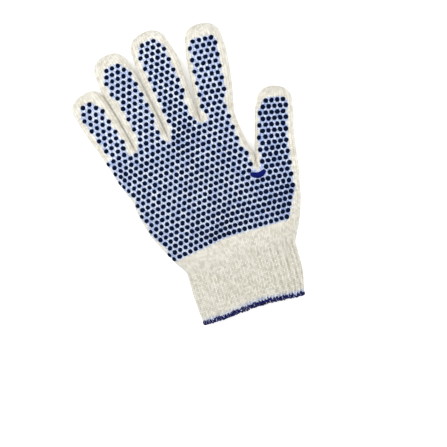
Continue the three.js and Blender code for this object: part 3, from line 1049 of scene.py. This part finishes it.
def smear_piece():
    """The crescent of print: part of a ring, flattened, rounded and laid on the cloth."""
    deselect_all()
    bpy.ops.mesh.primitive_torus_add(
        major_radius=SMEAR_RADIUS, minor_radius=SMEAR_HALF,
        major_segments=SMEAR_SIDES[0], minor_segments=SMEAR_SIDES[1],
    )
    piece = bpy.context.object
    piece.name = "smeared_print"
    cut_and_squash((0, SMEAR_CUT, 0), [(slope, -1, 0) for slope in SMEAR_SLOPES], SMEAR_SQUASH)
    rounding = piece.modifiers.new("rounding", "SUBSURF")
    rounding.levels = 1
    rounding.render_levels = 1
    bpy.ops.object.modifier_apply(modifier="rounding")
    local = round_ended(points_of(piece))
    places = local[:, :2] + SMEAR_CENTRE
    points = surface_point(places)[0]
    waves = [high * np.sin(places[:, k] * rate) for k, (high, rate) in enumerate(SMEAR_WAVES)]
    points[:, 2] += local[:, 2] * (1 + sum(waves)) + SMEAR_LIFT
    moved = points * MM + np.array(SHIFT)
    piece.data.vertices.foreach_set("co", moved.astype(np.float32).ravel())
    piece.data.update()
    piece.data.shade_smooth()
    declare(piece, "dot_print", "print_smear")
    return piece


# Overlock thread

def resampled(ring, values, count):
    """Values known at the points of a closed ring, read at evenly spaced places round it."""
    known = np.concatenate([values, values[:1]])
    run = run_along(np.concatenate([ring, ring[:1]]))
    at = np.linspace(0, run[-1], count, endpoint=False)
    return read_at(at, run, known)


def swept(path, away):
    """A closed tube of thread along a closed path. away points out of the path at every point."""
    along = unit(ring_steps(path))
    side = unit(np.cross(along, away))
    up = np.cross(side, along)
    angles = 2 * np.pi * np.arange(THREAD_SIDES)[None, :, None] / THREAD_SIDES
    ring = (side[:, None] * np.cos(angles) + up[:, None] * np.sin(angles)) * THREAD_RADIUS
    faces = ring_faces(len(path), THREAD_SIDES, turned=True, closed=True)
    return (path[:, None] + ring).reshape(-1, 3), faces


def mouth_bump(x):
    """How strongly the cuff's mouth bows at each x, from 0 to 1."""
    away = np.clip(np.abs(x - MOUTH_MIDDLE) / MOUTH_REACH, 0, 1)
    return (1 + np.cos(np.pi * away)) / 2


def wound_thread(ring, out, turns, phase, way, rng):
    """Path of a thread wound round the cuff's edge, looser and tighter from turn to turn."""
    count = turns * THREAD_POINTS
    turn_at = np.arange(count) / THREAD_POINTS

    def varied(limits):
        drawn = [rng.uniform(*limits) for _ in range(turns)]
        return np.interp(turn_at, np.arange(turns), drawn, period=turns)

    loose = varied(HEM_LOOSE)
    swing = varied(HEM_SWING)
    stray = varied(HEM_STRAY)
    back = np.array([0.0, 1.0, 0.0])
    centre = resampled(ring, ring, count) + back * stray[:, None]
    facing = resampled(ring, out, count)
    facing[:, 1] = 0
    angle = way * 2 * np.pi * turn_at + phase
    cosine = np.cos(angle)
    reach = HEM_REACH * (1 - HEM_NARROWING * mouth_bump(centre[:, 0]))
    longer = 1 + loose * np.clip(cosine, 0, 1) - HEM_LOOSE_BACK * loose * np.clip(-cosine, 0, 1)
    forward = back * (cosine * reach)[:, None]
    outward_part = unit(facing) * (np.sin(angle) * HEM_THICK)[:, None]
    sideways = unit(ring_steps(centre)) * (swing * cosine)[:, None]
    return centre + forward * longer[:, None] + outward_part + sideways, unit(forward + outward_part)


def hem_piece(base, out):
    """The overlock: threads wound both ways round the cloth's edge."""
    rng = random.Random(HEM_SEED)
    ring = base[0] - out[0] * (WALL / 2) + np.array([0.0, HEM_MIDDLE - base[0, 0, 1], 0.0])
    points, faces = joined([
        swept(*wound_thread(ring, out[0], turns, phase, way, rng)) for turns, phase, way in HEM_THREADS
    ])
    points[:, 2] = np.maximum(points[:, 2], HEM_LOWEST)
    piece = finish_mesh("overlock_thread_hem", points, faces)
    declare(piece, "overlock_thread", "hem_overlock")
    return piece


# Materials

class Value:
    """A socket in a material, so that arithmetic on it adds Math nodes."""

    def __init__(self, tree, socket):
        self.tree = tree
        self.socket = socket

    def math(self, operation, *values):
        node = self.tree.nodes.new("ShaderNodeMath")
        node.operation = operation
        for socket, value in zip(node.inputs, values):
            if isinstance(value, Value):
                self.tree.links.new(value.socket, socket)
            else:
                socket.default_value = value
        return Value(self.tree, node.outputs[0])

    def __add__(self, other):
        return self.math("ADD", self, other)

    def __radd__(self, other):
        return self.math("ADD", other, self)

    def __sub__(self, other):
        return self.math("SUBTRACT", self, other)

    def __rsub__(self, other):
        return self.math("SUBTRACT", other, self)

    def __mul__(self, other):
        return self.math("MULTIPLY", self, other)

    def __rmul__(self, other):
        return self.math("MULTIPLY", other, self)

    def sine(self):
        return self.math("SINE", self)

    def fraction(self):
        return self.math("FRACT", self)

    def size(self):
        return self.math("ABSOLUTE", self)

    def held(self):
        return self.math("MINIMUM", self.math("MAXIMUM", self, 0.0), 1.0)


class Finish:
    """A material whose nodes are added one call at a time. where holds the Object coordinates."""

    def __init__(self, name, **constants):
        self.material = bpy.data.materials.new(name)
        self.material.use_nodes = True
        self.tree = self.material.node_tree
        self.shader = self.tree.nodes["Principled BSDF"]
        for title, value in constants.items():
            self.shader.inputs[title.replace("_", " ")].default_value = value
        self.where = self.node("ShaderNodeTexCoord", output=3)

    def node(self, kind, settings=None, inputs=None, output=0):
        node = self.tree.nodes.new(kind)
        for title, value in (settings or {}).items():
            setattr(node, title, value)
        for title, value in (inputs or {}).items():
            if isinstance(value, Value):
                self.tree.links.new(value.socket, node.inputs[title])
            else:
                node.inputs[title].default_value = value
        return Value(self.tree, node.outputs[output])

    def mix(self, amount, first, second):
        """Colours, by amount from the first to the second, at the node's own colour sockets."""
        inputs = {0: amount, 6: first, 7: second}
        return self.node("ShaderNodeMix", {"data_type": "RGBA"}, inputs, output=2)

    def noise(self, scale, detail, roughness):
        inputs = {"Vector": self.where, "Scale": scale, "Detail": detail, "Roughness": roughness}
        return self.node("ShaderNodeTexNoise", {}, inputs)

    def part_of(self, vector, number):
        """The X, Y or Z of a vector, by its number."""
        return self.node("ShaderNodeSeparateXYZ", {}, {"Vector": vector}, output=number)

    def attribute(self, title):
        """One of the mesh's own numbers, which the node gives at its third output."""
        return self.node("ShaderNodeAttribute", {"attribute_name": title}, output=2)

    def feed(self, title, value):
        self.tree.links.new(value.socket, self.shader.inputs[title])

    def bump(self, height, strength, distance):
        inputs = {"Strength": strength, "Distance": distance, "Height": height}
        self.feed("Normal", self.node("ShaderNodeBump", {}, inputs))

    def put_on(self, *pieces):
        for piece in pieces:
            piece.data.materials.clear()
            piece.data.materials.append(self.material)


def colour(red, green, blue):
    """A colour from 0 to 255, as the eye sees it, in Blender's linear numbers."""
    return tuple(
        (c / 255 / 12.92 if c / 255 <= 0.04045 else ((c / 255 + 0.055) / 1.055) ** 2.4)
        for c in (red, green, blue)
    ) + (1.0,)


CREAM = colour(250, 248, 241)
CREAM_SHADE = colour(243, 239, 227)
# Painted shade in the grooves between stitches and between plies
CREAM_GROOVE_SHADE = colour(170, 164, 142)
FILM_BLUE = colour(240, 247, 255)
# Painted shade in the film's grooves
FILM_GROOVE_SHADE = colour(106, 139, 208)
THREAD_DARK = colour(1, 1, 20)
THREAD_BLUE = colour(16, 19, 112)
WHITE = colour(255, 255, 255)


def knit_finish(name):
    """Cotton yarn: two plies twisted in each stitch's leg, soft fibres, painted shade in the grooves,
    and the print's blue film.
    """
    finish = Finish(name, Roughness=0.93, Sheen_Weight=0.25, Sheen_Roughness=0.5)
    uv = finish.node("ShaderNodeUVMap", {"uv_map": "knit"})
    wale = finish.part_of(uv, 0)
    course = finish.part_of(uv, 1)
    leg = (wale.fraction() - 0.5).size() * 2.0
    ply = ((course * PLIES - leg * PLY_LEAN) * (2 * math.pi)).sine() * 0.5 + 0.5
    fibre = finish.noise(FIBRE_SCALE, detail=3.0, roughness=0.65)
    patch = finish.noise(PATCH_SCALE, detail=2.0, roughness=0.5)
    cell = finish.node("ShaderNodeVectorMath", {"operation": "FLOOR"}, {0: uv})
    stitch = finish.node("ShaderNodeTexWhiteNoise", {"noise_dimensions": "2D"}, {"Vector": cell})
    relief = finish.attribute("relief")
    haze = finish.attribute("haze")
    # Painted shade in the stitches' grooves and between plies comes from relief and ply; fibre and
    # stitch give the yarn's own uneven tone
    light = relief * RELIEF_LIGHT + ply * PLY_LIGHT + fibre * FIBRE_LIGHT + stitch * STITCH_LIGHT
    light = (light - DARKENING).held()
    yarn = finish.mix((patch * 1.8 - 0.45).held(), CREAM_SHADE, CREAM)
    # The darkest colour here is painted shade in the grooves; the patches are the yarn's own uneven
    # tone
    yarn = finish.mix(light, CREAM_GROOVE_SHADE, yarn)
    across = finish.part_of(finish.where, 0)
    # Painted shade that darkens the film towards the thumb's side
    thumb_side_shade = ((across - FILM_SIDE_START) * (1 / FILM_SIDE_WIDTH)).held()
    film = (light * 1.4 - 0.4 - thumb_side_shade * FILM_SIDE_SHADE).held()
    # The film's darkest blue is painted shade in its grooves
    film = finish.mix(film, FILM_GROOVE_SHADE, FILM_BLUE)
    finish.feed("Base Color", finish.mix((haze * HAZE_STRENGTH).held(), yarn, film))
    finish.bump(ply * 0.5 + fibre * 0.8, strength=0.55, distance=0.00022)
    return finish


def thread_finish():
    finish = Finish("overlock_thread", Roughness=0.7, Specular_IOR_Level=0.15)
    fibre = finish.noise(THREAD_SCALE, detail=3.0, roughness=0.6)
    finish.feed("Base Color", finish.mix((fibre * 2.4 - 0.8).held(), THREAD_DARK, THREAD_BLUE))
    finish.bump(fibre, strength=0.4, distance=0.0001)
    return finish


def dot_finish(name, deep, pale):
    """Soft plastic print, a little uneven in colour and gloss."""
    finish = Finish(name, Specular_IOR_Level=0.02)
    cloud = finish.noise(CLOUD_SCALE, detail=2.0, roughness=0.5)
    grain = finish.noise(GRAIN_SCALE, detail=2.0, roughness=0.5)
    finish.feed("Base Color", finish.mix((cloud * 2.0 - 0.5).held(), deep, pale))
    finish.feed("Roughness", grain * 0.2 + 0.3)
    finish.bump(grain, strength=0.25, distance=0.00012)
    return finish


def floor_finish():
    # The floor glows faintly: painted light that lifts the glove's shadows on it and lights the glove's
    # sides from below
    finish = Finish("pale_floor", Roughness=0.85, Emission_Color=WHITE, Emission_Strength=0.25)
    cloud = finish.noise(FLOOR_SCALE, detail=1.0, roughness=0.4)
    finish.feed("Base Color", finish.mix(cloud, colour(250, 250, 250), colour(252, 252, 252)))
    return finish


# The glove

def bowed(cloth):
    """Bows the rows by the cuff's mouth up, the upper layer more than the lower one."""
    base = cloth.whole
    share = base[..., 2] / base[..., 2].max()
    near = 1 - ramp(base[..., 1], *MOUTH_FADE)
    bow = MOUTH_LOWER + (MOUTH_UPPER - MOUTH_LOWER) * share
    base[..., 1] += bow * mouth_bump(base[..., 0]) * near
    cloth.out = outward(base)


def knit_glove():
    """All knitted pieces, from the cuff up. Each goes on from the rows of the one before."""
    lower_plan = palm_plan(LOWER_ROWS, 5)
    upper_plan = palm_plan(UPPER_ROWS, 4)
    columns = STRIPS * COLUMNS_PER_WALE
    lower = Cloth(np.concatenate([CUFF_PLAN[:-1], lower_plan]))
    bowed(lower)
    upper = Cloth(upper_plan, lower.last_rows(0, columns[4]))
    lower.meet(upper, 0, columns[4])
    tubes = {}
    for name, first, last in zip(FINGERS, columns[:-1], columns[1:]):
        root, root_plan = (lower, lower_plan) if name == "thumb" else (upper, upper_plan)
        plan = finger_plan(name, root_plan[-1, first : last + 1])
        tubes[name] = Cloth(plan, root.last_rows(first, last))
        root.meet(tubes[name], first, last)
    cut = len(CUFF_PLAN) - 1
    surface = lower.stitched()
    cuff_surface = [part[: cut + 1] for part in surface]
    heel_surface = [part[cut:] for part in surface]
    paleness = hem_paleness(cuff_surface[0])
    cuff = cloth_piece("ribbed_cuff", "rib_cuff", cuff_surface, paleness, slot="ribbing")
    plan = [("palm_heel", "palm", heel_surface, None), ("palm_top", "palm", upper.stitched(), None)]
    for name, cloth in tubes.items():
        plan.append(("knit_" + name, name, cloth.stitched(), EDGES[name]["pole"]))
    pieces = []
    for title, node, surface, pole in plan:
        pieces.append(cloth_piece(title, node, surface, haze_amount(surface[0]), pole=pole))
    return cuff, pieces, hem_piece(*cuff_surface[2:])


cuff, knitted, hem = knit_glove()
dots = dot_piece()
smear = smear_piece()

knit_finish("cotton_knit").put_on(*knitted)
knit_finish("cotton_ribbing").put_on(cuff)
thread_finish().put_on(hem)
dot_finish("dot_print", colour(1, 9, 30), colour(4, 18, 50)).put_on(dots)
dot_finish("smeared_print", colour(6, 12, 66), colour(18, 26, 108)).put_on(smear)


# Floor, light and camera

def add_floor():
    deselect_all()
    bpy.ops.mesh.primitive_plane_add(size=FLOOR_SIZE, location=(0, 0, -FLOOR_DROP))
    floor = bpy.context.object
    floor.name = "pale_floor"
    floor_finish().put_on(floor)


def add_light(name, place, size, power):
    data = bpy.data.lights.new(name, "AREA")
    data.shape = "DISK"
    data.size = size
    data.energy = power
    light = add_object(name, data)
    light.location = place
    light.rotation_euler = (-Vector(place)).to_track_quat("-Z", "Y").to_euler()


def add_world():
    world = bpy.data.worlds.new("studio")
    bpy.context.scene.world = world
    world.use_nodes = True
    background = world.node_tree.nodes["Background"]
    background.inputs["Color"].default_value = WHITE
    background.inputs["Strength"].default_value = WORLD_STRENGTH


def add_camera():
    data = bpy.data.cameras.new("camera")
    data.sensor_fit = "HORIZONTAL"
    data.sensor_width = SENSOR_WIDTH
    data.lens = SENSOR_WIDTH * CAMERA_HEIGHT / VIEW_WIDTH
    data.clip_end = CLIP_END
    camera = add_object("camera", data)
    camera.location = (
        VIEW_MIDDLE[0] * MM + SHIFT.x, VIEW_MIDDLE[1] * MM + SHIFT.y, CAMERA_HEIGHT * MM
    )
    camera.rotation_euler = Euler((0, 0, VIEW_TURN))
    bpy.context.scene.camera = camera


add_floor()
add_world()
for name, light in LIGHTS.items():
    add_light(name, *light)
add_camera()
bpy.context.scene.view_settings.view_transform = "Standard"
